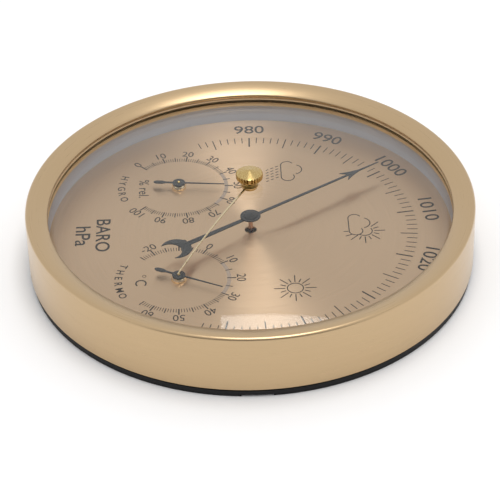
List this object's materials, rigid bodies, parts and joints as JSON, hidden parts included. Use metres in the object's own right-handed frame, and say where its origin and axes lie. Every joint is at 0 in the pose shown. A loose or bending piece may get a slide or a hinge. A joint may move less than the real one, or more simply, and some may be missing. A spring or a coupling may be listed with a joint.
{
  "type": "aneroid barometer",
  "caption": "Round gold wall barometer with domed glass, pressure hand, reminder hand on a knurled knob, and small thermometer and hygrometer dials.",
  "frame": {"origin": "centre of the back cover's rear face, which lies on z = 0", "axes": "+Z out through the dial, +Y towards 12 o'clock on the dial"},
  "size_m": [0.132, 0.132, 0.0306],
  "materials": {
    "gold_case": "brushed, gold anodised",
    "dial_gold": "spun, champagne",
    "spacer_grey": "satin silver grey",
    "glass": "clear, polished",
    "seal_rubber": "matte",
    "cover_black": "moulded, fine grain",
    "hand_dark": "satin blue-black",
    "copper_staff": "turned",
    "brass": "turned and polished",
    "steel": "turned",
    "spring_steel": "rolled",
    "coil_bimetal": "rolled strip"
  },
  "bodies": {
    "root": {"case_shell": "gold_case", "glass_seal": "seal_rubber", "glass_lens": "glass", "spacer_ring": "spacer_grey", "dial_plate": "dial_gold", "back_cover": "cover_black", "movement_screws": "steel", "movement_plate": "brass", "movement_pillars": "brass", "movement_bridge": "brass", "bridge_screws": "steel", "capsule_lower": "spring_steel", "capsule_upper": "spring_steel", "mainspring_leaf": "spring_steel", "mainspring_block": "brass", "leaf_screws": "steel", "rocker_posts": "brass", "hairspring": "spring_steel", "hairspring_stud": "brass", "thermo_bush": "brass", "thermo_carrier": "steel", "thermo_coil": "coil_bimetal", "hygro_bush": "brass", "hygro_carrier": "steel", "hygro_coil": "coil_bimetal", "knob_washer": "brass"},
    "reminder": {"setting_knob": "brass", "knob_spindle": "brass", "set_hand": "brass", "spindle_collar": "brass"},
    "pressure_hand": {"hand_arbor": "copper_staff", "arbor_pinion": "brass", "baro_hand": "hand_dark", "baro_hub": "hand_dark"},
    "sector": {"sector_gear": "brass", "sector_staff": "steel"},
    "rocker": {"rocker_shaft": "steel", "rocker_arms": "steel"},
    "capsule_head": {"capsule_post": "brass"},
    "temperature_hand": {"thermo_staff": "steel", "thermo_hand": "hand_dark"},
    "humidity_hand": {"hygro_staff": "steel", "hygro_hand": "hand_dark"},
    "trim_screw": {"calibration_screw": "brass"}
  },
  "joints": [
    {"name": "reminder_turn", "type": "hinge", "parent": "root", "child": "reminder", "pos_m": [0, 0, 0.0269], "axis": [0, 0, 1], "continuous": true},
    {"name": "pressure_hand_turn", "type": "hinge", "parent": "root", "child": "pressure_hand", "pos_m": [0, 0, 0.0137], "axis": [0, 0, 1], "range_deg": [-160, 109], "deforming": ["hairspring"]},
    {"name": "sector_turn", "type": "hinge", "parent": "root", "child": "sector", "pos_m": [0, 0.01378, 0.004], "axis": [0, 0, 1], "range_deg": [-11, 16.1]},
    {"name": "rocker_turn", "type": "hinge", "parent": "root", "child": "rocker", "pos_m": [-0.003, 0.03, 0.0075], "axis": [0, 1, 0], "range_deg": [-5.5, 8.05]},
    {"name": "capsule_travel", "type": "slide", "parent": "root", "child": "capsule_head", "axis": [0, 0, 1], "range_m": [-0.000425, 0.00029], "deforming": ["capsule_upper", "mainspring_leaf"]},
    {"name": "temperature_hand_turn", "type": "hinge", "parent": "root", "child": "temperature_hand", "pos_m": [0.0234, -0.0213, 0.0108], "axis": [0, 0, 1], "range_deg": [-108.5, 161.5], "deforming": ["thermo_coil"]},
    {"name": "humidity_hand_turn", "type": "hinge", "parent": "root", "child": "humidity_hand", "pos_m": [-0.0234, -0.0213, 0.0108], "axis": [0, 0, 1], "range_deg": [-129, 141], "deforming": ["hygro_coil"]},
    {"name": "trim_screw_turn", "type": "hinge", "parent": "root", "child": "trim_screw", "pos_m": [0.022, 0.0315, 0.001], "axis": [0, 0, 1], "range_deg": [-180, 180]}
  ],
  "couplings": [
    {"joint": "sector_turn", "follows": "pressure_hand_turn", "ratio": -0.1},
    {"joint": "rocker_turn", "follows": "pressure_hand_turn", "ratio": -0.05},
    {"joint": "capsule_travel", "follows": "pressure_hand_turn", "m_per_rad": 0.00015}
  ]
}
